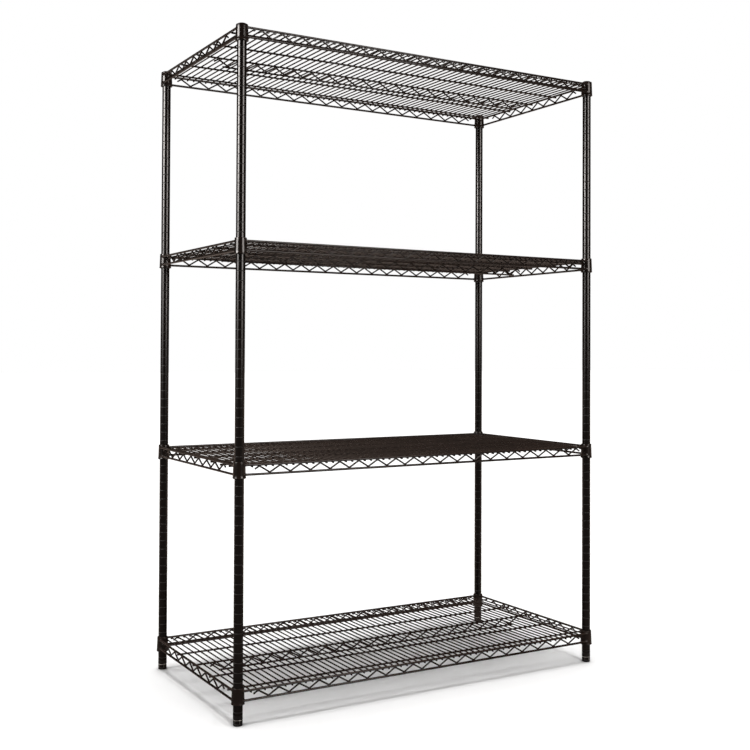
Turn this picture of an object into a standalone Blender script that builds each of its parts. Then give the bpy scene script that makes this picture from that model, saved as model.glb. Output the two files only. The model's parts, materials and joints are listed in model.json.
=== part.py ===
"""Wire shelving rack: four notched tube posts, four welded wire shelves on tapered split sleeves,
caps, and levelling feet. Metres, +Z up, +X along the long side, front is -Y.
The origin is on the floor under the middle of the rack."""

import math

import bmesh
import bpy
from mathutils import Matrix, Vector

# ---- shared dimensions, metres -----------------------------------------------------------
RACK_HEIGHT = 1.8288            # 72 in, floor to the top of the caps
POST_SPACING_X = 1.184          # between post axes, long side
POST_SPACING_Y = 0.575          # between post axes, short side
GAP = 0.0003                    # running and seating clearance
SEGMENTS = 12                   # sides of every turned piece, so nested pieces stay aligned

POST_RADIUS = 0.0127            # 1 in tube
TUBE_WALL = 0.0012
POST_BOTTOM = 0.0164
POST_TOP = 1.8226
BORE_RADIUS = POST_RADIUS - TUBE_WALL
PLUG_RADIUS = BORE_RADIUS - GAP  # plugs that sit inside the tube

NOTCH_PITCH = 0.0254            # the step between possible shelf heights
LOWEST_SHELF = 0.0548           # underside of the lowest shelf's collars
SHELF_STEPS = (0, 23, 46, 68)   # notches above the lowest shelf
SHELF_HEIGHTS = [LOWEST_SHELF + step * NOTCH_PITCH for step in SHELF_STEPS]

# The sleeve is measured from the underside of the collar around it.
SLEEVE_START = -0.0010
SLEEVE_END = 0.0403
SLEEVE_BOTTOM_RADIUS = 0.0152
SLEEVE_TOP_RADIUS = 0.0139
SLEEVE_RIDGE = 0.0319           # height of the inner ridge, level with the post's notch

HALF_X, HALF_Y = POST_SPACING_X / 2, POST_SPACING_Y / 2
CORNERS = {
    "front_left": (-HALF_X, -HALF_Y),
    "front_right": (HALF_X, -HALF_Y),
    "rear_left": (-HALF_X, HALF_Y),
    "rear_right": (HALF_X, HALF_Y),
}

BLACK_EPOXY = dict(colour=(0.012, 0.010, 0.009), roughness=0.28, metallic=0.0)
BLACK_PLASTIC = dict(colour=(0.015, 0.015, 0.015), roughness=0.45, metallic=0.0)
BRIGHT_ZINC = dict(colour=(0.62, 0.62, 0.60), roughness=0.32, metallic=1.0)


# ---- scene and objects -------------------------------------------------------------------
for old in list(bpy.data.objects):
    bpy.data.objects.remove(old, do_unlink=True)

parts = bpy.data.collections.new("wire_shelving_rack")
cutters = bpy.data.collections.new("cutters")
bpy.context.scene.collection.children.link(parts)
bpy.context.scene.collection.children.link(cutters)


def make_material(name, colour, roughness, metallic):
    material = bpy.data.materials.new(name)
    material.use_nodes = True
    shader = material.node_tree.nodes["Principled BSDF"]
    shader.inputs["Base Color"].default_value = (*colour, 1.0)
    shader.inputs["Roughness"].default_value = roughness
    shader.inputs["Metallic"].default_value = metallic
    return material


def place(name, mesh, finish, location=(0, 0, 0), parent=None):
    """A visible piece with a material of its own."""
    piece = bpy.data.objects.new(name, mesh)
    parts.objects.link(piece)
    piece.location = location
    piece.parent = parent
    mesh.materials.clear()
    mesh.materials.append(make_material(name, **finish))
    return piece


def place_helper(name, mesh, parent):
    """A hidden solid that a boolean modifier works with."""
    helper = bpy.data.objects.new(name, mesh)
    cutters.objects.link(helper)
    helper.parent = parent
    helper.hide_render = True
    helper.display_type = "WIRE"
    return helper


def place_anchor(name, location, parent=None):
    """An empty on a joint's axis."""
    empty = bpy.data.objects.new(name, None)
    empty.empty_display_size = 0.03
    empty.location = location
    empty.parent = parent
    parts.objects.link(empty)
    return empty


def add_turn(piece):
    """Sweep an outline once around Z and close it on the axis."""
    screw = piece.modifiers.new("turn", "SCREW")
    screw.axis = "Z"
    screw.angle = 2 * math.pi
    screw.steps = SEGMENTS
    screw.render_steps = SEGMENTS
    screw.use_merge_vertices = True
    screw.merge_threshold = 0.00001
    weld = piece.modifiers.new("weld_axis", "WELD")
    weld.merge_threshold = 0.00001


def add_boolean(piece, name, operation, tool, use_self=False):
    boolean = piece.modifiers.new(name, "BOOLEAN")
    boolean.operation = operation
    boolean.solver = "EXACT"
    boolean.use_self = use_self
    boolean.object = tool


# ---- mesh building -----------------------------------------------------------------------
def to_mesh(bm, name):
    mesh = bpy.data.meshes.new(name)
    bm.to_mesh(mesh)
    bm.free()
    return mesh


def outline_mesh(name, points, closed=False):
    """A turned piece's outline on the +X side, from (radius, height) points.
    An open outline starts and ends on the axis."""
    bm = bmesh.new()
    verts = [bm.verts.new((radius, 0.0, z)) for radius, z in points]
    for start, end in zip(verts, verts[1:]):
        bm.edges.new((start, end))
    if closed:
        bm.edges.new((verts[-1], verts[0]))
    return to_mesh(bm, name)


def add_box(bm, low, high):
    """A block between two opposite corners."""
    low, high = Vector(low), Vector(high)
    matrix = Matrix.Translation((low + high) / 2) @ Matrix.Diagonal((*(high - low), 1.0))
    bmesh.ops.create_cube(bm, size=1.0, matrix=matrix)


def add_bar_x(bm, half_length, y, z, side):
    """A square bar along X, centred on x = 0."""
    add_box(bm, (-half_length, y - side / 2, z - side / 2),
            (half_length, y + side / 2, z + side / 2))


def add_bar_y(bm, half_length, x, z, width, height):
    """A bar along Y, centred on y = 0."""
    add_box(bm, (x - width / 2, -half_length, z - height / 2),
            (x + width / 2, half_length, z + height / 2))


def add_cone(bm, x, y, bottom, top, bottom_radius, top_radius,
             sides=SEGMENTS, rotation=math.pi / 2):
    """A capped cone; a quarter turn puts a corner on +X, no turn puts one on the Y axis."""
    matrix = (Matrix.Translation((x, y, (bottom + top) / 2))
              @ Matrix.Rotation(rotation, 4, "Z"))
    bmesh.ops.create_cone(bm, cap_ends=True, cap_tris=False, segments=sides,
                          radius1=bottom_radius, radius2=top_radius,
                          depth=top - bottom, matrix=matrix)


# ---- posts -------------------------------------------------------------------------------
NOTCH_DEPTH = 0.0006
NOTCH_HALF_HEIGHT = 0.0018


def post_mesh():
    """Hollow tube with a V-shaped ring notch for each shelf."""
    outer = [(POST_RADIUS, POST_TOP)]
    for height in reversed(SHELF_HEIGHTS):
        z = height + SLEEVE_RIDGE
        outer += [(POST_RADIUS, z + NOTCH_HALF_HEIGHT), (POST_RADIUS - NOTCH_DEPTH, z),
                  (POST_RADIUS, z - NOTCH_HALF_HEIGHT)]
    outer.append((POST_RADIUS, POST_BOTTOM))
    bore = [(BORE_RADIUS, POST_BOTTOM), (BORE_RADIUS, POST_TOP)]
    return outline_mesh("post", outer + bore, closed=True)


# ---- caps --------------------------------------------------------------------------------
CAP_DOME = (                    # (radius, drop below the rack's top)
    (0.0, 0.0),
    (0.0068, 0.0006),
    (0.0112, 0.0021),
    (0.0136, 0.0043),
)
CAP_SEAT = POST_TOP + GAP       # underside of the cap's brim
CAP_PLUG_BOTTOM = CAP_SEAT - 0.017
CAP_HOLLOW_TOP = CAP_SEAT + 0.0008
CAP_HOLLOW_RADIUS = PLUG_RADIUS - 0.0016


def cap_mesh():
    """Domed cap with a hollow plug inside the tube."""
    dome = [(radius, RACK_HEIGHT - drop) for radius, drop in CAP_DOME]
    brim_radius = CAP_DOME[-1][0]
    return outline_mesh("post_cap", dome + [
        (brim_radius, CAP_SEAT), (PLUG_RADIUS, CAP_SEAT), (PLUG_RADIUS, CAP_PLUG_BOTTOM),
        (CAP_HOLLOW_RADIUS, CAP_PLUG_BOTTOM), (CAP_HOLLOW_RADIUS, CAP_HOLLOW_TOP),
        (0.0, CAP_HOLLOW_TOP)])


# ---- levelling feet ----------------------------------------------------------------------
INSERT_TOP = POST_BOTTOM + 0.0220
FLANGE_TOP = POST_BOTTOM - GAP
FLANGE_BOTTOM = FLANGE_TOP - 0.0012
FLANGE_RADIUS = POST_RADIUS - 0.0001

HEAD_TOP = FLANGE_BOTTOM - GAP
HEAD_BOTTOM = 0.0048
HEAD_RADIUS = 0.0127            # from the axis to the hexagon's corners

STEM_RADIUS = 0.00476           # 3/8 in screw
STEM_TOP = 0.0520
STEM_CHAMFER_WIDTH = 0.0008
STEM_CHAMFER_HEIGHT = 0.0010
STEM_TAPER_TOP = HEAD_TOP - 0.002       # the stem narrows to the spigot inside the head
STEM_TAPER_BOTTOM = HEAD_BOTTOM + 0.001
SPIGOT_RADIUS = 0.0041
SPIGOT_BOTTOM = 0.0024

GLIDE_TOP = HEAD_BOTTOM - GAP
GLIDE_OUTLINE = (               # (radius, height), socket floor to underside
    (0.0, 0.0020), (0.0044, 0.0020), (0.0044, GLIDE_TOP), (0.0119, GLIDE_TOP),
    (0.0124, 0.0034), (0.0124, 0.0016), (0.0108, 0.0), (0.0, 0.0),
)


def insert_mesh():
    """Plug inside the tube: a thin flange under the tube and a bore for the stem."""
    bore = STEM_RADIUS + GAP
    return outline_mesh("foot_insert", [
        (PLUG_RADIUS, INSERT_TOP), (PLUG_RADIUS, FLANGE_TOP), (FLANGE_RADIUS, FLANGE_TOP),
        (FLANGE_RADIUS, FLANGE_BOTTOM), (bore, FLANGE_BOTTOM), (bore, INSERT_TOP)], closed=True)


def stem_mesh():
    """Plain screw stem above the hexagon and the round spigot under it."""
    return outline_mesh("stem", [
        (0.0, STEM_TOP), (STEM_RADIUS - STEM_CHAMFER_WIDTH, STEM_TOP),
        (STEM_RADIUS, STEM_TOP - STEM_CHAMFER_HEIGHT), (STEM_RADIUS, STEM_TAPER_TOP),
        (SPIGOT_RADIUS, STEM_TAPER_BOTTOM), (SPIGOT_RADIUS, SPIGOT_BOTTOM),
        (0.0, SPIGOT_BOTTOM)])


def glide_mesh():
    """Round glide with a chamfered lower edge and a blind socket for the spigot."""
    return outline_mesh("foot_glide", GLIDE_OUTLINE)


def head_mesh():
    """The foot's hexagon."""
    bm = bmesh.new()
    add_cone(bm, 0, 0, HEAD_BOTTOM, HEAD_TOP, HEAD_RADIUS, HEAD_RADIUS, sides=6, rotation=0.0)
    return to_mesh(bm, "leveling_foot")


def build_foot(corner, x, y):
    """The foot travels along the stem's axis, and the screw turns inside that travel."""
    travel = place_anchor("axis_foot_travel_" + corner, (x, y, 0))
    turning = place_anchor("axis_foot_turn_" + corner, (0, 0, 0), travel)
    add_turn(place("foot_glide_" + corner, glide_mesh(), BLACK_PLASTIC, parent=travel))
    foot = place("leveling_foot_" + corner, head_mesh(), BLACK_PLASTIC, parent=turning)
    stem = place_helper("stem_" + corner, stem_mesh(), turning)
    add_turn(stem)
    add_boolean(foot, "stem", "UNION", stem)


def build_post(corner, x, y):
    """A post with its cap, insert and foot."""
    add_turn(place("post_" + corner, post_mesh(), BLACK_EPOXY, (x, y, 0)))
    add_turn(place("post_cap_" + corner, cap_mesh(), BLACK_PLASTIC, (x, y, 0)))
    add_turn(place("foot_insert_" + corner, insert_mesh(), BRIGHT_ZINC, (x, y, 0)))
    build_foot(corner, x, y)


# ---- tapered split sleeves ---------------------------------------------------------------
SLEEVE_BORE = POST_RADIUS + GAP
SLEEVE_RIDGE_DEPTH = 0.00055
SLEEVE_RIDGE_HALF = 0.0012      # half the ridge's height
SLEEVE_OUTLINE = (              # (radius, height), down the outside and up the bore
    (SLEEVE_TOP_RADIUS, SLEEVE_END),
    (SLEEVE_BOTTOM_RADIUS, SLEEVE_START),
    (SLEEVE_BORE, SLEEVE_START),
    (SLEEVE_BORE, SLEEVE_RIDGE - SLEEVE_RIDGE_HALF),
    (SLEEVE_BORE - SLEEVE_RIDGE_DEPTH, SLEEVE_RIDGE),
    (SLEEVE_BORE, SLEEVE_RIDGE + SLEEVE_RIDGE_HALF),
    (SLEEVE_BORE, SLEEVE_END),
)


def half_sleeve_mesh(name, start):
    """The section swept through half a turn, less the clearance where the halves meet."""
    relief = math.asin(GAP / 2 / POST_RADIUS)
    bm = bmesh.new()
    face = bm.faces.new([bm.verts.new((radius, 0.0, z)) for radius, z in SLEEVE_OUTLINE])
    bmesh.ops.rotate(bm, verts=bm.verts, cent=(0, 0, 0),
                     matrix=Matrix.Rotation(start + relief, 3, "Z"))
    bmesh.ops.spin(bm, geom=[face] + list(face.edges) + list(face.verts), cent=(0, 0, 0),
                   axis=(0, 0, 1), angle=math.pi - 2 * relief, steps=SEGMENTS // 2,
                   use_duplicate=False)
    bmesh.ops.remove_doubles(bm, verts=bm.verts, dist=0.000001)
    bmesh.ops.recalc_face_normals(bm, faces=bm.faces)
    return to_mesh(bm, name)


def build_sleeves():
    """Two half sleeves for every shelf corner."""
    halves = {
        "left": half_sleeve_mesh("sleeve_half_left", math.pi / 2),
        "right": half_sleeve_mesh("sleeve_half_right", -math.pi / 2),
    }
    for number, height in enumerate(SHELF_HEIGHTS, 1):
        for corner, (x, y) in CORNERS.items():
            for side, mesh in halves.items():
                place(f"sleeve_{number}_{corner}_{side}", mesh.copy(), BLACK_PLASTIC,
                      (x, y, height))


# ---- shelves: heights are wire centres above the collars' undersides ---------------------
COLLAR_HEIGHT = 0.0432
COLLAR_BOTTOM_RADIUS = 0.0174
COLLAR_TOP_RADIUS = 0.0159
BORE_OVERRUN = 0.002            # the bore cutters pass the collar's ends by this much

RIM_OUTSET = 0.0115             # rims run this far outboard of the post axes
RIM_X, RIM_Y = HALF_X + RIM_OUTSET, HALF_Y + RIM_OUTSET
TOP_RIM = 0.0346
BOTTOM_RIM = 0.0098
RIM_SIDE = 0.0056
END_RIM_HEIGHT = 0.0064         # section height of the top rims at the short sides

DECK_CENTRE = 0.0335
DECK_SIDE = 0.0030
DECK_PITCH = 0.020
DECK_HALF_COUNT = 29            # 59 deck wires
DECK_END_INSET = 0.0012         # deck wires stop this far short of the rims' centres

SUPPORT_CENTRE = 0.0295
SUPPORT_SIDE = 0.0044
SUPPORT_ROWS = (-0.2500, -0.1232, 0.0, 0.1232, 0.2500)
SUPPORT_OVERRUN = 0.0016        # supports end this far past the rims' centres
TRUSS_BOTTOM = 0.0056           # lower wire of the truss under the middle support
TRUSS_HALF_LENGTH = 0.527

ZIG_RADIUS = 0.0020
ZIG_HALF_PITCH = 0.060 / 2      # peak to valley
ZIG_STUB = 0.013                # run of the free stub past each end peak
ZIG_WELD_SHIFT = 0.0014         # moves a bend into the wire it is welded to
LONG_LAST_PEAK = 18             # end peaks, in half pitches from the middle
SHORT_LAST_PEAK = 7

CORE_HALF_LENGTH = 0.5
CORE_HALF_SIDE = 0.0010


def zigzag(last_peak, upper_underside, lower_top):
    """(distance, height) along a zigzag between two wires. The end peaks are welded to the
    upper wire and the valleys next to them to the lower; the other bends run clear."""
    peak = upper_underside - (GAP + ZIG_RADIUS)
    valley = lower_top + (GAP + ZIG_RADIUS)
    points = []
    for i in range(-last_peak, last_peak + 1):
        z = peak if (i - last_peak) % 2 == 0 else valley
        if abs(i) == last_peak:
            z = peak + ZIG_WELD_SHIFT
        elif abs(i) == last_peak - 1:
            z = valley - ZIG_WELD_SHIFT
        points.append((i * ZIG_HALF_PITCH, z))
    end, end_peak = points[-1]
    stub_z = end_peak - ZIG_STUB * (peak - valley) / ZIG_HALF_PITCH
    return [(-end - ZIG_STUB, stub_z)] + points + [(end + ZIG_STUB, stub_z)]


def wire_mesh(name, points):
    """A bent wire as a curve with filled caps, made a mesh so that it can be joined."""
    curve = bpy.data.curves.new(name, "CURVE")
    curve.dimensions = "3D"
    curve.bevel_depth = ZIG_RADIUS
    curve.bevel_resolution = 0
    curve.use_fill_caps = True
    spline = curve.splines.new("POLY")
    spline.points.add(len(points) - 1)
    for target, point in zip(spline.points, points):
        target.co = (*point, 1.0)
    wire = bpy.data.objects.new(name, curve)
    cutters.objects.link(wire)
    bpy.context.view_layer.update()
    depsgraph = bpy.context.evaluated_depsgraph_get()
    swept = bpy.data.meshes.new_from_object(wire.evaluated_get(depsgraph))
    bpy.data.objects.remove(wire, do_unlink=True)
    bm = bmesh.new()
    bm.from_mesh(swept)
    bpy.data.meshes.remove(swept)
    bmesh.ops.remove_doubles(bm, verts=bm.verts, dist=0.00001)
    bmesh.ops.recalc_face_normals(bm, faces=bm.faces)
    return to_mesh(bm, name)


def zigzag_paths():
    """Zigzags in the front, rear, left and right rims, then under the middle support."""
    lower_top = BOTTOM_RIM + RIM_SIDE / 2
    long_run = zigzag(LONG_LAST_PEAK, TOP_RIM - RIM_SIDE / 2, lower_top)
    short_run = zigzag(SHORT_LAST_PEAK, TOP_RIM - END_RIM_HEIGHT / 2, lower_top)
    middle_run = zigzag(LONG_LAST_PEAK, SUPPORT_CENTRE - SUPPORT_SIDE / 2,
                        TRUSS_BOTTOM + SUPPORT_SIDE / 2)
    paths = [[(x, y, z) for x, z in long_run] for y in (-RIM_Y, RIM_Y)]
    paths += [[(x, y, z) for y, z in short_run] for x in (-RIM_X, RIM_X)]
    paths.append([(x, 0.0, z) for x, z in middle_run])
    return paths


def shelf_mesh():
    """One shelf with its collars' undersides at z = 0, still as overlapping bars."""
    bm = bmesh.new()
    for y in (-RIM_Y, RIM_Y):
        add_bar_x(bm, HALF_X, y, TOP_RIM, RIM_SIDE)
        add_bar_x(bm, HALF_X, y, BOTTOM_RIM, RIM_SIDE)
    for x in (-RIM_X, RIM_X):
        add_bar_y(bm, HALF_Y, x, TOP_RIM, RIM_SIDE, END_RIM_HEIGHT)
        add_bar_y(bm, HALF_Y, x, BOTTOM_RIM, RIM_SIDE, RIM_SIDE)
    for i in range(-DECK_HALF_COUNT, DECK_HALF_COUNT + 1):
        add_bar_y(bm, RIM_Y - DECK_END_INSET, i * DECK_PITCH, DECK_CENTRE, DECK_SIDE, DECK_SIDE)
    for y in SUPPORT_ROWS:
        add_bar_x(bm, RIM_X + SUPPORT_OVERRUN, y, SUPPORT_CENTRE, SUPPORT_SIDE)
    add_bar_x(bm, TRUSS_HALF_LENGTH, 0.0, TRUSS_BOTTOM, SUPPORT_SIDE)
    for x, y in CORNERS.values():
        add_cone(bm, x, y, 0.0, COLLAR_HEIGHT, COLLAR_BOTTOM_RADIUS, COLLAR_TOP_RADIUS)
    for number, path in enumerate(zigzag_paths()):
        wire = wire_mesh(f"shelf_zigzag_{number}", path)
        bm.from_mesh(wire)
        bpy.data.meshes.remove(wire)
    return to_mesh(bm, "shelf")


def bore_radius(z):
    """Radius of the collar's tapered bore: the sleeve's outside plus clearance."""
    slope = (SLEEVE_BOTTOM_RADIUS - SLEEVE_TOP_RADIUS) / (SLEEVE_END - SLEEVE_START)
    return SLEEVE_BOTTOM_RADIUS - slope * (z - SLEEVE_START) + GAP


def bores_mesh():
    """The four collar bores as one cutter."""
    low, high = -BORE_OVERRUN, COLLAR_HEIGHT + BORE_OVERRUN
    bm = bmesh.new()
    for x, y in CORNERS.values():
        add_cone(bm, x, y, low, high, bore_radius(low), bore_radius(high))
    return to_mesh(bm, "bores")


def weld_core_mesh():
    """A thin bar wholly inside the front top rim. It adds no shape, but gives the union
    that merges the shelf's own bars a second solid to work with."""
    bm = bmesh.new()
    add_box(bm, (-CORE_HALF_LENGTH, -RIM_Y - CORE_HALF_SIDE, TOP_RIM - CORE_HALF_SIDE),
            (CORE_HALF_LENGTH, -RIM_Y + CORE_HALF_SIDE, TOP_RIM + CORE_HALF_SIDE))
    return to_mesh(bm, "weld_core")


def build_shelves():
    """Each shelf hangs on its own lift axis: its bars are welded, then its collars bored."""
    shelf, core, bores = shelf_mesh(), weld_core_mesh(), bores_mesh()
    for number, height in enumerate(SHELF_HEIGHTS, 1):
        lift = place_anchor(f"axis_shelf_{number}_lift", (0, 0, height))
        piece = place(f"shelf_{number}", shelf.copy(), BLACK_EPOXY, parent=lift)
        core_tool = place_helper(f"weld_core_{number}", core, lift)
        bore_tool = place_helper(f"bores_{number}", bores, lift)
        add_boolean(piece, "weld", "UNION", core_tool, use_self=True)
        add_boolean(piece, "bores", "DIFFERENCE", bore_tool)


# ---- build -------------------------------------------------------------------------------
for corner_name, (post_x, post_y) in CORNERS.items():
    build_post(corner_name, post_x, post_y)
build_sleeves()
build_shelves()
bpy.context.view_layer.update()
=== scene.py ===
"""Wire shelving rack: four round ringed posts carrying four welded wire shelves on split sleeves.

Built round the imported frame. Metres, +Z up, -Y front, floor at z = 0, centred between the posts.
"""
import json
import math

import bpy
import numpy as np
from mathutils import Matrix, Vector


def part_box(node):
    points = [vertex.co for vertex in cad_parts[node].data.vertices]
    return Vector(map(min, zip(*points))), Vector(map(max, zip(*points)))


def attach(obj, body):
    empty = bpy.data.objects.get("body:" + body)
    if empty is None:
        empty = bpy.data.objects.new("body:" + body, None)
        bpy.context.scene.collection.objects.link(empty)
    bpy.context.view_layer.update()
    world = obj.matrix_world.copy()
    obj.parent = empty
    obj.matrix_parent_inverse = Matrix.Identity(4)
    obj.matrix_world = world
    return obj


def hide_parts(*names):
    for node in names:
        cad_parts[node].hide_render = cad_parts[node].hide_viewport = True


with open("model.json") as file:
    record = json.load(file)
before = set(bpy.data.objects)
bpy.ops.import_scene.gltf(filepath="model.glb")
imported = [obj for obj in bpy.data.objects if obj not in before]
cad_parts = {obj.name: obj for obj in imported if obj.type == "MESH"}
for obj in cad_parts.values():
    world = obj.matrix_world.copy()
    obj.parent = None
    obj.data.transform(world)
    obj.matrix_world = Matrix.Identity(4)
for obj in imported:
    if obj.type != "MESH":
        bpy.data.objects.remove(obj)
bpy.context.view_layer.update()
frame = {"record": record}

CORNERS = ("front_left", "front_right", "rear_left", "rear_right")


# ---- places and sizes, read from the frame ------------------------------------------------
def middle(node):
    low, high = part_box(node)
    return (low + high) / 2


def levels(node):
    return [corner.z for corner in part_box(node)]


def half_width(node):
    low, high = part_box(node)
    return (high.x - low.x) / 2


POST_AT = {c: (middle("post_" + c).x, middle("post_" + c).y) for c in CORNERS}
HALF_X, HALF_Y = POST_AT["rear_right"]
POST_LOW, POST_HIGH = levels("post_front_left")
POST_R = half_width("post_front_left")
SHELF_Z = {n: levels(f"shelf_{n}")[0] for n in (1, 2, 3, 4)}
# sleeve heights are measured from the underside of the shelf's collars
SLEEVE_LOW, SLEEVE_HIGH = (z - SHELF_Z[1] for z in levels("sleeve_1_front_left_left"))
CAP_LOW, CAP_HIGH = levels("post_cap_front_left")
CAP_R = half_width("post_cap_front_left")
INSERT_LOW, INSERT_HIGH = levels("foot_insert_front_left")
FOOT_HIGH = levels("leveling_foot_front_left")[1]
GLIDE_HIGH = levels("foot_glide_front_left")[1]

# ---- posts and their fittings ----
RING_PITCH = 0.0254
RING_ABOVE_COLLAR = 0.0319        # a ring sits this far above each collar's underside
RING_DEPTH = 0.0003
RING_HALF = 0.0010
TUBE_WALL = 0.0012
BORE_R = POST_R - TUBE_WALL
FIT_GAP = 0.0003
PLUG_R = BORE_R - FIT_GAP         # cap and foot insert where they enter the tube
SLEEVE_FOOT_R, SLEEVE_TOP_R = 0.0152, 0.0139
SLEEVE_INSIDE = POST_R + 0.00016
THREAD_PITCH = 0.0015875

# ---- shelf; heights above the collars' undersides ----
COLLAR_H = 0.0432
COLLAR_R0, COLLAR_R1 = 0.0174, 0.0159     # outside radius at the underside and at the top
BORE_GAP = 0.00028                # collar's bore outside the sleeve
RIM_OUT = 0.0115                  # rim wires' centre line outside the posts' centre line
RIM_R = 0.0032
RIM_X, RIM_Y = HALF_X + RIM_OUT, HALF_Y + RIM_OUT
TOP_RIM, LOW_RIM = 0.0346, 0.0098
DECK_R, DECK_Z = 0.0021, 0.0332
DECK_PITCH, DECK_LAST = 0.020, 29         # spacing, and count from the middle to the last wire
DECK_END_Z = 0.0299
DECK_OVERHANG = 0.0021            # past the rim's centre line
SUPPORT_R, SUPPORT_Z = 0.0027, 0.0290
SUPPORT_ROWS = (-0.2500, -0.1232, 0.0, 0.1232, 0.2500)
SUPPORT_OVERHANG = 0.0022
TRUSS_Z, TRUSS_HALF = 0.0056, 0.527       # lower wire under the middle support
ZIG_R, ZIG_APEX, ZIG_STEP = 0.0024, 0.0041, 0.030    # apex is measured in from the wire welded to
ZIG_STUB = 0.013
ZIG_BEND = 0.0036
ZIG_RISE = 0.0176                 # nominal rise per step, used only for the lift
# a bent corner falls short of its sharp point by this much
ZIG_LIFT = ZIG_BEND * (1 / math.cos(math.atan(ZIG_RISE / ZIG_STEP)) - 1)


# ---- mesh building ------------------------------------------------------------------------
class Form:
    """Vertices and faces of one piece while it is built."""

    def __init__(self):
        self.verts, self.faces = [], []

    def add(self, verts, faces):
        base = len(self.verts)
        self.verts.extend([tuple(float(value) for value in vert) for vert in verts])
        self.faces.extend([tuple(base + i for i in face) for face in faces])
        return self

    def mesh(self, name, look, sharp):
        """The finished mesh; edges turning more than sharp degrees stay sharp."""
        data = bpy.data.meshes.new(name)
        data.from_pydata(self.verts, [], self.faces)
        data.update()
        data.shade_smooth()
        data.set_sharp_from_angle(angle=math.radians(sharp))
        data.materials.append(LOOK[look])
        return data


def skin(form, rings):
    """Closed rings of points joined into a tube facing out, each end closed round a centre."""
    n = len(rings[0])
    verts = [point for ring in rings for point in ring]
    last = len(verts) - n
    faces = []
    for base in range(0, last, n):
        for j in range(n):
            k = (j + 1) % n
            faces.append((base + j, base + k, base + n + k, base + n + j))
    centre = len(verts)
    verts += [np.mean(rings[0], axis=0), np.mean(rings[-1], axis=0)]
    faces += [(centre, (j + 1) % n, j) for j in range(n)]
    faces += [(centre + 1, last + j, last + (j + 1) % n) for j in range(n)]
    return form.add(verts, faces)


def unit(vector):
    return vector / np.linalg.norm(vector)


def bent(points, radius, steps=4):
    """A polyline whose corners are bent to the given centre-line radius."""
    points = [np.array(point, float) for point in points]
    path = [points[0]]
    for before, corner, after in zip(points, points[1:], points[2:]):
        back, ahead = unit(before - corner), unit(after - corner)
        inside = math.acos(max(-1.0, min(1.0, float(back @ ahead))))
        turn = math.pi - inside
        if turn < 1e-3:
            path.append(corner)
            continue
        # the arc takes up less than half of either leg
        setback = min(radius / math.tan(inside / 2),
                      0.46 * np.linalg.norm(before - corner),
                      0.46 * np.linalg.norm(after - corner))
        arc_radius = setback * math.tan(inside / 2)
        hub = corner + unit(back + ahead) * arc_radius / math.sin(inside / 2)
        first, last = corner + back * setback - hub, corner + ahead * setback - hub
        for i in range(steps + 1):
            part = i / steps
            path.append(hub + (math.sin((1 - part) * turn) * first
                               + math.sin(part * turn) * last) / math.sin(turn))
    path.append(points[-1])
    return path


def wire(form, path, radius, sides=10):
    """Round wire along a path, its ends lightly chamfered."""
    points = [np.array(point, float) for point in path]
    legs = [unit(end - start) for start, end in zip(points, points[1:])]
    tangents = [legs[0]] + [unit(one + two) for one, two in zip(legs, legs[1:])] + [legs[-1]]
    across = unit(np.cross(legs[0], (0.0, 0.0, 1.0) if abs(legs[0][2]) < 0.9 else (1.0, 0.0, 0.0)))
    axes = []
    for tangent in tangents:
        across = unit(across - tangent * (across @ tangent))
        axes.append((across, np.cross(tangent, across)))

    def ring(point, pair, size):
        return [point + size * (math.cos(angle) * pair[0] + math.sin(angle) * pair[1])
                for angle in (2 * math.pi * j / sides for j in range(sides))]

    lip, end_r = 0.22 * radius, 0.80 * radius
    rings = [ring(points[0], axes[0], end_r), ring(points[0] + legs[0] * lip, axes[0], radius)]
    rings += [ring(point, pair, radius) for point, pair in zip(points[1:-1], axes[1:-1])]
    rings += [ring(points[-1] - legs[-1] * lip, axes[-1], radius),
              ring(points[-1], axes[-1], end_r)]
    skin(form, rings)


def turned(form, profile, segments=48, at=(0.0, 0.0), closed=False, arc=None):
    """A profile of (radius, height) turned about Z, counter-clockwise with the axis on its left.
    A closed profile makes a ring-shaped solid; an open one starts and ends on the axis.
    arc = (start, end) turns it through part of a circle, with flat ends."""
    centre_x, centre_y = at
    full = arc is None
    start, stop = (0.0, 2 * math.pi) if full else arc
    count = segments if full else segments + 1
    angles = [start + (stop - start) * j / segments for j in range(count)]
    verts, index = [], []
    for radius, z in profile:
        if radius < 1e-7 and full:
            index.append([len(verts)] * count)
            verts.append((centre_x, centre_y, z))
        else:
            index.append(list(range(len(verts), len(verts) + count)))
            verts += [(centre_x + radius * math.cos(angle), centre_y + radius * math.sin(angle), z)
                      for angle in angles]
    faces = []
    rows = len(profile)
    for i in range(rows if closed else rows - 1):
        lower, upper = index[i], index[(i + 1) % rows]
        for j in range(segments):
            k = (j + 1) % count
            quad = [lower[j], lower[k], upper[k], upper[j]]
            # on the axis two corners meet, leaving a triangle
            clean = [vert for n, vert in enumerate(quad) if vert != quad[n - 1]]
            if len(clean) > 2:
                faces.append(tuple(clean))
    if not full:
        faces.append(tuple(row[0] for row in index))
        faces.append(tuple(row[-1] for row in reversed(index)))
    return form.add(verts, faces)


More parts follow.
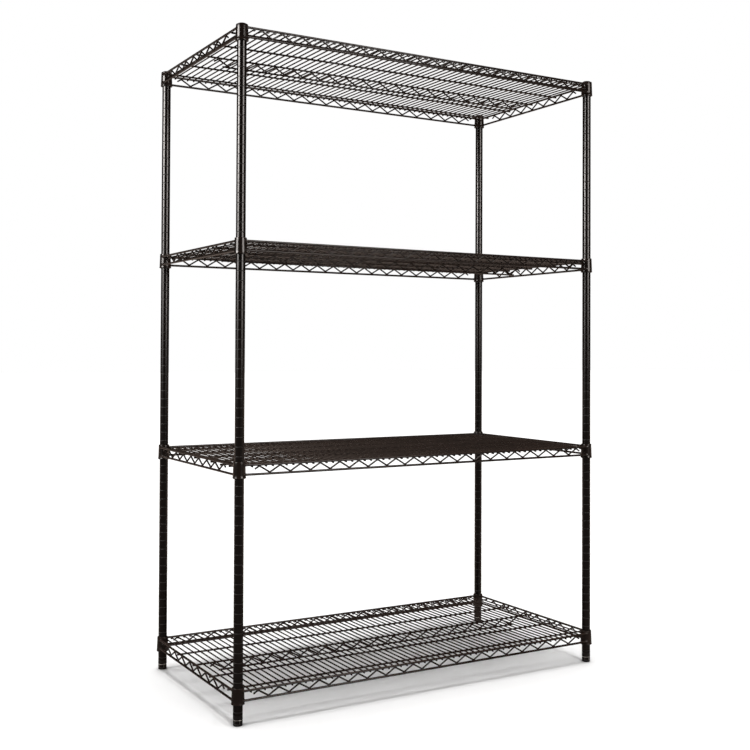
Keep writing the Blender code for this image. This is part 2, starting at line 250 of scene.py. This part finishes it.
def nugget(form, centre, radii):
    """The small squeezed-out lens of metal at a resistance weld."""
    around, tall = 8, 5
    x, y, z = centre
    radius_x, radius_y, radius_z = radii
    verts = [(x, y, z - radius_z)]
    for i in range(1, tall):
        rise = -math.pi / 2 + math.pi * i / tall
        for j in range(around):
            turn = 2 * math.pi * (j + 0.5) / around
            verts.append((x + radius_x * math.cos(rise) * math.cos(turn),
                          y + radius_y * math.cos(rise) * math.sin(turn),
                          z + radius_z * math.sin(rise)))
    verts.append((x, y, z + radius_z))
    faces = [(0, 1 + (j + 1) % around, 1 + j) for j in range(around)]
    for i in range(tall - 2):
        lower, upper = 1 + i * around, 1 + (i + 1) * around
        faces += [(lower + j, lower + (j + 1) % around, upper + (j + 1) % around, upper + j)
                  for j in range(around)]
    lower, top = 1 + (tall - 2) * around, len(verts) - 1
    faces += [(lower + j, lower + (j + 1) % around, top) for j in range(around)]
    form.add(verts, faces)


# ---- shelf --------------------------------------------------------------------------------
def sleeve_radius(z):
    """Outside of the tapered sleeve."""
    slope = (SLEEVE_FOOT_R - SLEEVE_TOP_R) / (SLEEVE_HIGH - SLEEVE_LOW)
    return SLEEVE_FOOT_R - slope * (z - SLEEVE_LOW)


def bore_radius(z):
    """Taper of the collar's bore, a hair outside the sleeve's."""
    return sleeve_radius(z) + BORE_GAP


def collar_radius(z):
    return COLLAR_R0 + (COLLAR_R1 - COLLAR_R0) * z / COLLAR_H


def lay(along, station, line, z):
    """(x, y, z) of a station on a line that runs along 'x' or 'y'."""
    return (station, line, z) if along == "x" else (line, station, z)


# (distance clear of the collar's wall, scale of the wire's radius);
# None is the plain wire at RIM_PLAIN from the post's axis
RIM_BEAD = [(-0.00115, 0.90), (-0.0005, 1.36), (0.0001, 1.40), (0.0007, 1.27), (0.0015, 1.14),
            (0.0026, 1.045), (0.0040, 1.0), (None, 1.0)]
RIM_PLAIN = 0.034


def rim(form, along, side, z):
    """A rim wire between two collars, its ends shaped to their walls and bedded in a weld fillet.
    along is 'x' or 'y'; side is the sign of the rim's side."""
    sides = 16
    reach, across = (HALF_X, HALF_Y) if along == "x" else (HALF_Y, HALF_X)
    line = side * (across + RIM_OUT)
    wall = collar_radius(z)

    def ring(end, clear, scale):
        points = []
        for j in range(sides):
            angle = 2 * math.pi * j / sides
            off, rise = RIM_R * scale * math.cos(angle), RIM_R * scale * math.sin(angle)
            if clear is None:
                station = reach - RIM_PLAIN
            else:
                away = RIM_OUT + off * side
                station = reach - math.sqrt(max(wall * wall - away * away, 0.0)) - clear
            points.append(lay(along, end * station, line + off, z + rise))
        return points

    rings = [ring(-1, *row) for row in RIM_BEAD] + [ring(1, *row) for row in reversed(RIM_BEAD)]
    if along == "x":
        # going round the wire the other way keeps the faces outward
        rings = [row[::-1] for row in rings]
    skin(form, rings)


def deck(form):
    """Front-to-rear wires, bent down at both ends to the rims; the last at each side meets collars."""
    end_y = RIM_Y + DECK_OVERHANG
    for k in range(-DECK_LAST, DECK_LAST + 1):
        x = DECK_PITCH * k
        if abs(k) == DECK_LAST:
            chord = math.sqrt(collar_radius(DECK_Z) ** 2 - (HALF_X - abs(x)) ** 2)
            stop = HALF_Y - (chord - 0.0009)      # the end is sunk into the collar's wall
            wire(form, [(x, y, DECK_Z) for y in (-stop, 0, stop)], DECK_R)
            continue
        half = [(end_y, DECK_END_Z), (RIM_Y - 0.0050, DECK_END_Z), (RIM_Y - 0.0125, DECK_Z)]
        path = [(x, -y, z) for y, z in half] + [(x, y, z) for y, z in reversed(half)]
        wire(form, bent(path, radius=0.0055, steps=3), DECK_R)
        for side in (-1, 1):
            nugget(form, (x, side * RIM_Y, TOP_RIM - RIM_R + 0.0002), (0.0020, 0.0013, 0.0005))
        for y in SUPPORT_ROWS:
            nugget(form, (x, y, DECK_Z - DECK_R + 0.0001), (0.0019, 0.0020, 0.0005))


def supports(form):
    """Side-to-side wires under the deck, and the truss's lower wire below the middle one."""
    end_x = RIM_X + SUPPORT_OVERHANG
    for y in SUPPORT_ROWS:
        wire(form, [(x, y, SUPPORT_Z) for x in (-end_x, 0, end_x)], SUPPORT_R, sides=12)
        for side in (-1, 1):
            nugget(form, (side * RIM_X, y, TOP_RIM - RIM_R + 0.0001), (0.0024, 0.0034, 0.0009))
    wire(form, [(x, 0, TRUSS_Z) for x in (-TRUSS_HALF, 0, TRUSS_HALF)], SUPPORT_R, sides=12)


def truss(form, along, line, half_count, top_z, low_z):
    """A zigzag wire welded between two straight ones at top_z and low_z.
    It has half_count steps each side of the middle, starts and ends on a peak, and runs on
    past each end as a short stub that slopes down."""
    high, low = top_z - ZIG_APEX + ZIG_LIFT, low_z + ZIG_APEX - ZIG_LIFT
    corners = [(i * ZIG_STEP, high if (i - half_count) % 2 == 0 else low)
               for i in range(-half_count, half_count + 1)]
    stub_z = high - ZIG_STUB * (high - low) / ZIG_STEP
    end = half_count * ZIG_STEP + ZIG_STUB
    run = [(-end, stub_z)] + corners + [(end, stub_z)]
    wire(form, bent([lay(along, station, line, z) for station, z in run], ZIG_BEND), ZIG_R)
    for station, z in corners:
        at_top = z > (top_z + low_z) / 2
        weld_z = top_z - RIM_R * 0.93 if at_top else low_z + RIM_R * 0.93
        nugget(form, lay(along, station, line, weld_z), lay(along, 0.0044, 0.0017, 0.0011))


def collar(form, at):
    # (radius, height) up the outside from the rounded foot bead, then down the bore
    outer = [(0.01705, 0.0), (0.0176, 0.00035), (0.01775, 0.0009), (0.01775, 0.0021),
             (0.0175, 0.0028), (collar_radius(0.0034), 0.0034)]
    for i in range(1, 7):
        z = 0.0034 + (0.0418 - 0.0034) * i / 6
        outer.append((collar_radius(z), z))
    outer += [(0.01585, 0.0424), (0.0156, 0.0429), (0.0152, COLLAR_H)]
    inner = [(0.0146, COLLAR_H), (0.01435, 0.0430)]
    inner += [(bore_radius(z), z) for z in (0.0424, 0.0250, 0.0008)]
    inner += [(0.0156, 0.0003), (0.0158, 0.0)]
    turned(form, outer + inner, segments=56, at=at, closed=True)


def shelf_form():
    """The welded shelf with its collars' undersides at z = 0."""
    form = Form()
    for side in (-1, 1):
        for z in (TOP_RIM, LOW_RIM):
            rim(form, "x", side, z)
            rim(form, "y", side, z)
    deck(form)
    supports(form)
    for side in (-1, 1):
        truss(form, "x", side * RIM_Y, 18, TOP_RIM, LOW_RIM)
        truss(form, "y", side * RIM_X, 7, TOP_RIM, LOW_RIM)
    truss(form, "x", 0.0, 18, SUPPORT_Z, TRUSS_Z)
    for corner in CORNERS:
        collar(form, POST_AT[corner])
    return form


# ---- posts, caps, sleeves -----------------------------------------------------------------
# Heights across a ring, in ring half-heights. Plain bands either side of the ring keep the
# tube between rings dead straight when shaded smooth.
RING_STATIONS = (-2.6, -1.5, -1.0, -0.72, -0.4, -0.15, 0.15, 0.4, 0.72, 1.0, 1.5, 2.6)


def post_form():
    """Tube with shallow grooves rolled at an even pitch, lined up with the shelves."""
    z = SHELF_Z[1] + RING_ABOVE_COLLAR
    while z - RING_PITCH > POST_LOW + 0.004:
        z -= RING_PITCH
    outer = [(POST_R - 0.00035, POST_LOW), (POST_R - 0.0001, POST_LOW + 0.0001),
             (POST_R, POST_LOW + 0.0004)]
    while z < POST_HIGH - 0.004:
        for offset in RING_STATIONS:
            bowl = 0.5 + 0.5 * math.cos(math.pi * offset) if abs(offset) < 1 else 0.0
            outer.append((POST_R - RING_DEPTH * bowl, z + RING_HALF * offset))
        z += RING_PITCH
    outer += [(POST_R, POST_HIGH - 0.0004), (POST_R - 0.0001, POST_HIGH - 0.0001),
              (POST_R - 0.00035, POST_HIGH)]
    inner = [(BORE_R + 0.0003, POST_HIGH), (BORE_R, POST_HIGH - 0.0003),
             (BORE_R, POST_LOW + 0.0003), (BORE_R + 0.0003, POST_LOW)]
    return turned(Form(), outer + inner, closed=True)


def cap_form():
    """Domed cap over a hollow plug."""
    seat = POST_HIGH + FIT_GAP
    edge = CAP_HIGH - 0.0046
    profile = [(0.0, seat + 0.0008), (PLUG_R - 0.0016, seat + 0.0008),
               (PLUG_R - 0.0016, CAP_LOW + 0.0004), (PLUG_R - 0.0012, CAP_LOW),
               (PLUG_R - 0.0008, CAP_LOW), (PLUG_R, CAP_LOW + 0.0012)]
    # three ribs round the plug
    groove = PLUG_R - 0.0003
    for z in (seat - 0.0125, seat - 0.0085, seat - 0.0045):
        profile += [(groove, z - 0.0008), (PLUG_R, z), (groove, z + 0.0008)]
    profile += [(groove, seat), (CAP_R - 0.0004, seat), (CAP_R - 0.0001, seat + 0.0001),
                (CAP_R, seat + 0.0004), (CAP_R, edge)]
    steps = 9
    for i in range(1, steps + 1):
        angle = math.pi / 2 * i / steps
        radius = CAP_R * math.cos(angle) ** 0.62 if i < steps else 0.0
        profile.append((radius, edge + 0.0002 + 0.0044 * math.sin(angle)))
    return turned(Form(), profile)


def sleeve_form(start):
    """Half a tapered sleeve from angle start, with a ridge inside that sits in a post ring."""
    low, high = SLEEVE_LOW, SLEEVE_HIGH
    profile = [(0.0150, low), (0.01515, low + 0.00015), (sleeve_radius(low + 0.0005), low + 0.0005)]
    for i in range(1, 5):
        z = low + 0.0005 + (high - low - 0.0012) * i / 4
        profile.append((sleeve_radius(z), z))
    profile += [(sleeve_radius(high) - 0.0003, high), (SLEEVE_INSIDE + 0.0002, high),
                (SLEEVE_INSIDE, high - 0.0003)]
    for offset in (1.0, 0.6, 0.2, -0.2, -0.6, -1.0):
        ridge = 0.00050 * (0.5 + 0.5 * math.cos(math.pi * offset))
        profile.append((SLEEVE_INSIDE - ridge, RING_ABOVE_COLLAR + 0.0014 * offset))
    profile += [(SLEEVE_INSIDE, low + 0.0004), (SLEEVE_INSIDE + 0.0002, low)]
    relief = 0.00013 / POST_R     # angle left open at each split
    return turned(Form(), profile, segments=26, closed=True,
                  arc=(start + relief, start + math.pi - relief))


# ---- feet ---------------------------------------------------------------------------------
def insert_form():
    """Flanged bush in the foot of the post."""
    bore, flange = 0.00506, POST_R - 0.0001
    top = POST_LOW - FIT_GAP
    profile = [(bore + 0.0006, INSERT_LOW), (flange - 0.0003, INSERT_LOW),
               (flange - 0.00008, INSERT_LOW + 0.0001), (flange, INSERT_LOW + 0.0003),
               (flange, top - 0.0003), (flange - 0.00008, top - 0.0001),
               (flange - 0.0003, top), (PLUG_R, top), (PLUG_R, INSERT_HIGH - 0.0008),
               (PLUG_R - 0.0008, INSERT_HIGH), (bore + 0.0006, INSERT_HIGH),
               (bore, INSERT_HIGH - 0.0006), (bore, INSERT_LOW + 0.0006)]
    return turned(Form(), profile, closed=True)


def foot_form():
    """Hexagon with chamfered corners, a helical thread above it and a round spigot below."""
    head_low, head_high = 0.0048, INSERT_LOW - FIT_GAP
    flat = 0.0127 * math.cos(math.pi / 6)     # from the radius to the corners
    minor, major = 0.00412, 0.00476
    around = 96

    def hexagon(angle):
        return flat / math.cos((angle + math.pi / 6) % (math.pi / 3) - math.pi / 6)

    def row(z, radius_at):
        points = []
        for j in range(around):
            angle = 2 * math.pi * j / around
            radius = radius_at(angle)
            points.append((radius * math.cos(angle), radius * math.sin(angle), z))
        return points

    def stack(stations):
        """Rows from (radius, height), each cut back to the hexagon where it is wider."""
        return [row(z, lambda angle: min(hexagon(angle), reach)) for reach, z in stations]

    # (radius, distance in from the hexagon's lower or upper face)
    chamfer = [(0.0104, 0.0), (0.0112, 0.00025), (0.0118, 0.0007), (0.0124, 0.0013),
               (0.0130, 0.0022)]
    rows = stack([(0.0036, 0.0024), (0.0041, 0.0028), (0.0041, head_low - 0.0001)])
    rows += stack([(radius, head_low + depth) for radius, depth in chamfer])
    rows += stack([(radius, head_high - depth) for radius, depth in reversed(chamfer)])
    rows += stack([(0.0052, head_high), (0.0046, head_high + 0.0003)])

    z = head_high + 0.0006
    while z < FOOT_HIGH - 0.0012:
        fade = min(1.0, (z - head_high) / 0.0030)     # the thread runs out above the hexagon

        def thread(angle):
            phase = (z / THREAD_PITCH - angle / (2 * math.pi)) % 1.0
            tooth = min(1.0, max(0.0, 1.25 * (1 - abs(2 * phase - 1)) - 0.05))
            return minor + (major - minor) * (tooth * fade + 0.75 * (1 - fade))

        rows.append(row(z, thread))
        z += THREAD_PITCH / 8
    rows += stack([(0.00405, FOOT_HIGH - 0.0010), (0.0036, FOOT_HIGH - 0.0003),
                   (0.0033, FOOT_HIGH)])
    return skin(Form(), rows)


def glide_form():
    """Round pad on the floor with a socket for the foot's spigot."""
    top = GLIDE_HIGH
    profile = [(0.0, 0.0), (0.0098, 0.0), (0.0108, 0.00015), (0.0117, 0.0007), (0.0123, 0.0015),
               (0.0124, 0.0021), (0.0124, top - 0.0010), (0.0122, top - 0.0004),
               (0.0118, top - 0.0001), (0.0114, top), (0.0047, top), (0.0044, top - 0.0002),
               (0.0044, 0.0021), (0.0, 0.0020)]
    return turned(Form(), profile)


# ---- materials ----------------------------------------------------------------------------
def bare_tree(owner):
    """Empties the owner's node tree; gives a function that adds a node and one that links."""
    owner.use_nodes = True
    tree = owner.node_tree
    tree.nodes.clear()
    return (lambda kind: tree.nodes.new("ShaderNode" + kind)), tree.links.new


class Look:
    """Short-hand for building one material's node tree."""

    def __init__(self, name):
        self.material = bpy.data.materials.new(name)
        self.add, self.link = bare_tree(self.material)
        out = self.add("OutputMaterial")
        self.shader = self.add("BsdfPrincipled")
        self.link(self.shader.outputs["BSDF"], out.inputs["Surface"])
        self.place = self.add("TexCoord").outputs["Object"]

    def feed(self, target, value):
        """Links a socket to the target, or sets the target to a plain value."""
        if hasattr(value, "links"):
            self.link(value, target)
        else:
            target.default_value = value

    def put(self, socket, value):
        self.feed(self.shader.inputs[socket], value)

    def stretched(self, scale):
        node = self.add("Mapping")
        node.inputs["Scale"].default_value = scale
        self.link(self.place, node.inputs["Vector"])
        return node.outputs["Vector"]

    def noise(self, scale, detail=3.0, rough=0.5, vector=None):
        node = self.add("TexNoise")
        node.inputs["Scale"].default_value = scale
        node.inputs["Detail"].default_value = detail
        node.inputs["Roughness"].default_value = rough
        self.link(self.place if vector is None else vector, node.inputs["Vector"])
        return node.outputs["Fac"]

    def cells(self, scale):
        node = self.add("TexVoronoi")
        node.inputs["Scale"].default_value = scale
        self.link(self.place, node.inputs["Vector"])
        return node.outputs["Distance"]

    def ramp(self, value, span, to=(0.0, 1.0)):
        """Maps the span of values onto to, clamped."""
        node = self.add("MapRange")
        node.clamp = True
        for key, number in zip(("From Min", "From Max", "To Min", "To Max"), (*span, *to)):
            node.inputs[key].default_value = number
        self.link(value, node.inputs["Value"])
        return node.outputs["Result"]

    def math(self, operation, first, second):
        node = self.add("Math")
        node.operation = operation
        self.feed(node.inputs[0], first)
        self.feed(node.inputs[1], second)
        return node.outputs[0]

    def plus(self, value, extra):
        return self.math("ADD", value, extra)

    def times(self, value, factor):
        return self.math("MULTIPLY", value, factor)

    def mix(self, amount, under, over):
        """Colour going from under to over; each is a socket or an RGB tuple."""
        node = self.add("Mix")
        node.data_type = "RGBA"
        self.link(amount, node.inputs[0])
        for i, colour in ((6, under), (7, over)):
            self.feed(node.inputs[i], (*colour, 1.0) if isinstance(colour, tuple) else colour)
        return node.outputs[2]

    def bump(self, height, distance, strength):
        node = self.add("Bump")
        node.inputs["Distance"].default_value = distance
        node.inputs["Strength"].default_value = strength
        self.link(height, node.inputs["Height"])
        return node.outputs["Normal"]

    def worn(self, edge, patch, patch_span):
        """Convex edges, broken up by a patchy noise."""
        pointiness = self.add("NewGeometry").outputs["Pointiness"]
        return self.times(self.ramp(pointiness, span=edge), self.ramp(patch, span=patch_span))

    def upward(self):
        node = self.add("SeparateXYZ")
        self.link(self.add("NewGeometry").outputs["Normal"], node.inputs[0])
        return node.outputs["Z"]


def epoxy(name, gloss, tone, ringed=False):
    """Black epoxy powder coat: fine orange peel, cloudy gloss, a trace of dust on upward faces,
    and thinner, rubbed coating on convex edges. A ringed tube is duller in its rolled rings.
    gloss is the middling roughness; tone scales the base colour."""
    look = Look(name)
    cloud = look.noise(scale=14.0, detail=4.0, rough=0.55)
    fine = look.noise(scale=210.0)
    peel = look.noise(scale=620.0, detail=2.0, rough=0.45)
    grit = look.noise(scale=2600.0, detail=2.0)
    rubbed = look.worn(edge=(0.515, 0.58), patch=fine, patch_span=(0.40, 0.62))
    dust = look.times(look.ramp(look.upward(), span=(0.55, 1.0)),
                      look.ramp(look.noise(scale=60.0, detail=5.0, rough=0.6), span=(0.45, 0.75)))
    base = look.mix(look.ramp(cloud, span=(0.35, 0.68)),
                    under=tuple(tone * value for value in (0.0200, 0.0124, 0.0096)),
                    over=tuple(tone * value for value in (0.0310, 0.0196, 0.0152)))
    base = look.mix(look.times(rubbed, factor=0.40), under=base, over=(0.050, 0.042, 0.038))
    base = look.mix(look.times(dust, factor=0.10), under=base, over=(0.16, 0.14, 0.12))
    look.put("Base Color", base)
    rough = look.ramp(cloud, span=(0.3, 0.7), to=(gloss - 0.03, gloss + 0.05))
    rough = look.plus(rough, look.ramp(fine, span=(0.35, 0.7), to=(0.0, 0.015)))
    rough = look.plus(rough, look.times(dust, factor=0.18))
    rough = look.plus(rough, look.times(rubbed, factor=0.02))
    if ringed:
        # a ring's walls are the only parts of the tube's side that tilt up or down
        tilt = look.upward()
        rough = look.plus(rough, look.ramp(look.times(tilt, tilt), span=(0.0004, 0.0080),
                                           to=(0.0, 0.40)))
    look.put("Roughness", rough)
    look.put("IOR", 1.52)
    relief = look.plus(look.times(peel, factor=1.0), look.times(grit, factor=0.06))
    look.put("Normal", look.bump(relief, distance=0.00005, strength=0.10))
    return look.material


def plastic(name, gloss):
    """Moulded black plastic with a fine spark-eroded texture and faint flow clouds.
    gloss is the middling roughness."""
    look = Look(name)
    cloud = look.noise(scale=45.0)
    grain = look.noise(scale=3200.0, detail=2.0, rough=0.6)
    pits = look.cells(scale=1800.0)
    scuff = look.worn(edge=(0.52, 0.60), patch=look.noise(scale=160.0, detail=4.0),
                      patch_span=(0.42, 0.62))
    base = look.mix(look.ramp(cloud, span=(0.3, 0.7)),
                    under=(0.0085, 0.0082, 0.0080), over=(0.0135, 0.0130, 0.0125))
    base = look.mix(look.times(scuff, factor=0.6), under=base, over=(0.045, 0.043, 0.041))
    look.put("Base Color", base)
    rough = look.ramp(cloud, span=(0.3, 0.7), to=(gloss - 0.05, gloss + 0.05))
    look.put("Roughness", look.plus(rough, look.times(scuff, factor=0.12)))
    look.put("IOR", 1.48)
    relief = look.plus(grain, look.times(pits, factor=0.6))
    look.put("Normal", look.bump(relief, distance=0.00003, strength=0.5))
    return look.material


def zinc(name):
    """Bright zinc plate: turned marks round the part and cloudy passivation."""
    look = Look(name)
    marks = look.noise(scale=900.0, rough=0.6, vector=look.stretched(scale=(0.06, 0.06, 3.0)))
    cloud = look.noise(scale=220.0)
    look.put("Base Color", look.mix(look.ramp(cloud, span=(0.35, 0.65)),
                                    under=(0.84, 0.83, 0.79), over=(0.92, 0.92, 0.90)))
    look.put("Metallic", 1.0)
    look.put("Roughness", look.ramp(marks, span=(0.3, 0.7), to=(0.22, 0.38)))
    look.put("Normal", look.bump(marks, distance=0.00003, strength=0.5))
    return look.material


def foot_steel(name):
    """Blackened steel, rubbed bright on its convex edges."""
    look = Look(name)
    cloud = look.noise(scale=240.0, detail=4.0, rough=0.6)
    marks = look.noise(scale=1400.0, rough=0.6)
    worn = look.worn(edge=(0.51, 0.57), patch=cloud, patch_span=(0.30, 0.55))
    base = look.mix(look.ramp(cloud, span=(0.3, 0.7)),
                    under=(0.030, 0.029, 0.028), over=(0.060, 0.058, 0.055))
    look.put("Base Color", look.mix(worn, under=base, over=(0.46, 0.45, 0.43)))
    look.put("Metallic", look.plus(look.times(worn, factor=0.3), extra=0.65))
    look.put("Roughness", look.ramp(marks, span=(0.3, 0.7), to=(0.26, 0.40)))
    look.put("Normal", look.bump(marks, distance=0.00003, strength=0.6))
    return look.material


LOOK = {
    # posts and shelves wear one black epoxy; the posts' copy is darkened (tone 0.6) as painted shade
    # and the shelves' copy is lightened (tone 1.4) as painted light
    "post": epoxy("black_epoxy_posts_painted_shade", gloss=0.15, tone=0.6, ringed=True),
    "shelf": epoxy("black_epoxy_shelves_painted_light", gloss=0.18, tone=1.4),
    "cap": plastic("black_plastic_caps", gloss=0.30),
    "sleeve": plastic("black_plastic_sleeves", gloss=0.44),
    "glide": plastic("black_plastic_glides", gloss=0.50),
    "zinc": zinc("bright_zinc_inserts"),
    "foot": foot_steel("blackened_steel_feet"),
}


# ---- pieces -------------------------------------------------------------------------------
BODIES = frame["record"]["behaviour"]["bodies"]
BODY_OF = {node: body for body, members in BODIES.items() for node in members}


def add_object(name, data):
    thing = bpy.data.objects.new(name, data)
    bpy.context.scene.collection.objects.link(thing)
    return thing


def put(name, mesh, location, node):
    piece = add_object(name, mesh)
    piece.location = location
    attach(piece, BODY_OF[node])
    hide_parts(node)


shelf_mesh = shelf_form().mesh("shelf_wirework", "shelf", sharp=42)
# object's name, frame node's name, mesh, slot
CORNER_PIECES = (
    ("tube", "post", post_form().mesh("post_tube", "post", sharp=50), "post_coating"),
    ("cap", "post_cap", cap_form().mesh("post_cap_dome", "cap", sharp=50), "black_plastic"),
    ("insert", "foot_insert", insert_form().mesh("foot_insert", "zinc", sharp=35), "bright_zinc"),
    ("glide", "foot_glide", glide_form().mesh("foot_glide", "glide", sharp=50), "black_plastic"),
    ("screw", "leveling_foot", foot_form().mesh("foot_screw", "foot", sharp=28), "foot_steel"),
)
sleeve_meshes = {half: sleeve_form(start).mesh("sleeve_half_" + half, "sleeve", sharp=40)
                 for half, start in (("left", math.pi / 2), ("right", -math.pi / 2))}

for n, z in SHELF_Z.items():
    put(f"shelf_{n}_welded", shelf_mesh, (0, 0, z), f"shelf_{n}")
for corner in CORNERS:
    x, y = POST_AT[corner]
    for name, node, mesh, slot in CORNER_PIECES:
        put(f"{name}_{corner}", mesh, (x, y, 0), f"{node}_{corner}")
    for n, z in SHELF_Z.items():
        for half, mesh in sleeve_meshes.items():
            put(f"sleeve_half_{n}_{corner}_{half}", mesh, (x, y, z),
                f"sleeve_{n}_{corner}_{half}")


# ---- stage --------------------------------------------------------------------------------
def floor_material():
    """Pale to the camera, darker in what it gives back to the rack, and clear from below."""
    material = bpy.data.materials.new("pale_floor")
    add, link = bare_tree(material)
    out, seen, soft = add("OutputMaterial"), add("BsdfDiffuse"), add("BsdfDiffuse")
    seen.inputs["Color"].default_value = (0.86, 0.86, 0.86, 1)
    # what the floor gives back to the rack grows towards the rear and the right
    place, along = add("NewGeometry"), add("VectorMath")
    span, tone = add("MapRange"), add("Mix")
    along.operation = "DOT_PRODUCT"
    along.inputs[1].default_value = (0.6, 0.8, 0.0)
    span.inputs["From Min"].default_value = -0.6
    span.inputs["From Max"].default_value = 1.6
    tone.data_type = "RGBA"
    tone.inputs[6].default_value = (0.092, 0.078, 0.070, 1)
    tone.inputs[7].default_value = (0.360, 0.290, 0.250, 1)
    link(place.outputs["Position"], along.inputs[0])
    link(along.outputs["Value"], span.inputs["Value"])
    link(span.outputs["Result"], tone.inputs[0])
    link(tone.outputs[2], soft.inputs["Color"])
    path, pick = add("LightPath"), add("MixShader")
    link(path.outputs["Is Camera Ray"], pick.inputs[0])
    link(soft.outputs[0], pick.inputs[1])
    link(seen.outputs[0], pick.inputs[2])
    under, clear, back = add("MixShader"), add("BsdfTransparent"), add("NewGeometry")
    link(back.outputs["Backfacing"], under.inputs[0])
    link(pick.outputs[0], under.inputs[1])
    link(clear.outputs[0], under.inputs[2])
    link(under.outputs[0], out.inputs["Surface"])
    return material


def build_floor():
    half = 40.0
    data = bpy.data.meshes.new("floor")
    data.from_pydata([(-half, -half, 0), (half, -half, 0), (half, half, 0), (-half, half, 0)],
                     [], [(0, 1, 2, 3)])
    floor = add_object("floor", data)
    floor.location = (0, 0, -0.0002)      # just clear of the glides
    data.materials.append(floor_material())


def build_world():
    """White behind the rack as the camera sees it, a dim warm glow for everything else."""
    world = bpy.data.worlds.new("studio")
    bpy.context.scene.world = world
    add, link = bare_tree(world)
    out, white, dim = add("OutputWorld"), add("Background"), add("Background")
    white.inputs["Color"].default_value = (1, 1, 1, 1)
    white.inputs["Strength"].default_value = 1.0
    dim.inputs["Color"].default_value = (1.0, 0.82, 0.70, 1)
    dim.inputs["Strength"].default_value = 0.050
    path, pick = add("LightPath"), add("MixShader")
    link(path.outputs["Is Camera Ray"], pick.inputs[0])
    link(dim.outputs[0], pick.inputs[1])
    link(white.outputs[0], pick.inputs[2])
    link(pick.outputs[0], out.inputs["Surface"])


def build_camera(at, yaw, pitch, roll):
    """Angles in degrees: yaw turns from +Y towards +X, pitch looks up."""
    yaw, pitch, roll = math.radians(yaw), math.radians(pitch), math.radians(roll)
    forward = Vector((math.sin(yaw) * math.cos(pitch), math.cos(yaw) * math.cos(pitch),
                      math.sin(pitch)))
    level = Vector((math.cos(yaw), -math.sin(yaw), 0.0))
    upright = level.cross(forward)
    right = level * math.cos(roll) + upright * math.sin(roll)
    up = -level * math.sin(roll) + upright * math.cos(roll)
    camera = bpy.data.cameras.new("camera")
    camera.sensor_width = 36.0
    camera.lens = 51.97248
    camera.shift_x, camera.shift_y = 0.00988, -0.05464
    camera.clip_start, camera.clip_end = 0.05, 200.0
    eye = add_object("camera", camera)
    eye.matrix_world = Matrix((
        (right.x, up.x, -forward.x, at[0]),
        (right.y, up.y, -forward.y, at[1]),
        (right.z, up.z, -forward.z, at[2]),
        (0, 0, 0, 1)))
    bpy.context.scene.camera = eye


def overhead_light():
    """Draws the rack's soft shadow on the floor."""
    sun = bpy.data.lights.new("overhead", "SUN")
    sun.energy = 4.5
    sun.angle = math.radians(30)
    add_object("overhead", sun).visible_glossy = False


def softbox(name, at, aim, size, radiance, colour, fade, power):
    """An upright soft light seen only in reflections.
    It fades in with height, between the two heights in fade, as the given power."""
    light = bpy.data.lights.new(name, "AREA")
    light.shape = "RECTANGLE"
    light.size, light.size_y = size
    light.energy = radiance * math.pi * size[0] * size[1]
    light.color = colour
    add, link = bare_tree(light)
    out, emit, place = add("OutputLight"), add("Emission"), add("NewGeometry")
    split, span, curve = add("SeparateXYZ"), add("MapRange"), add("Math")
    span.inputs["From Min"].default_value, span.inputs["From Max"].default_value = fade
    curve.operation = "POWER"
    curve.inputs[1].default_value = power
    link(place.outputs["Position"], split.inputs[0])
    link(split.outputs["Z"], span.inputs["Value"])
    link(span.outputs["Result"], curve.inputs[0])
    link(curve.outputs[0], emit.inputs["Strength"])
    link(emit.outputs[0], out.inputs[0])
    box = add_object(name, light)
    box.location = at
    box.rotation_euler = (Vector(aim) - Vector(at)).to_track_quat("-Z", "Y").to_euler()
    box.visible_camera = False
    box.visible_diffuse = False


build_floor()
build_world()
# the camera stands at the front left
build_camera(at=(-1.7257, -2.8938, 0.9733), yaw=30.222, pitch=0.87, roll=0.251)
overhead_light()
softbox("left_box", at=(-3.47, -0.20, 1.80), aim=(-0.2, -0.2, 1.80), size=(1.9, 2.35),
        radiance=17.0, colour=(1.0, 0.955, 0.92), fade=(0.60, 2.10), power=1.9)
softbox("right_box", at=(1.50, -5.00, 2.20), aim=(0.1, 0.0, 2.20), size=(2.8, 2.6),
        radiance=7.0, colour=(1.0, 0.935, 0.89), fade=(0.60, 1.80), power=1.4)

view = bpy.context.scene.view_settings
view.view_transform = "Standard"
view.look = "None"
view.exposure = 0.0
view.gamma = 1.0
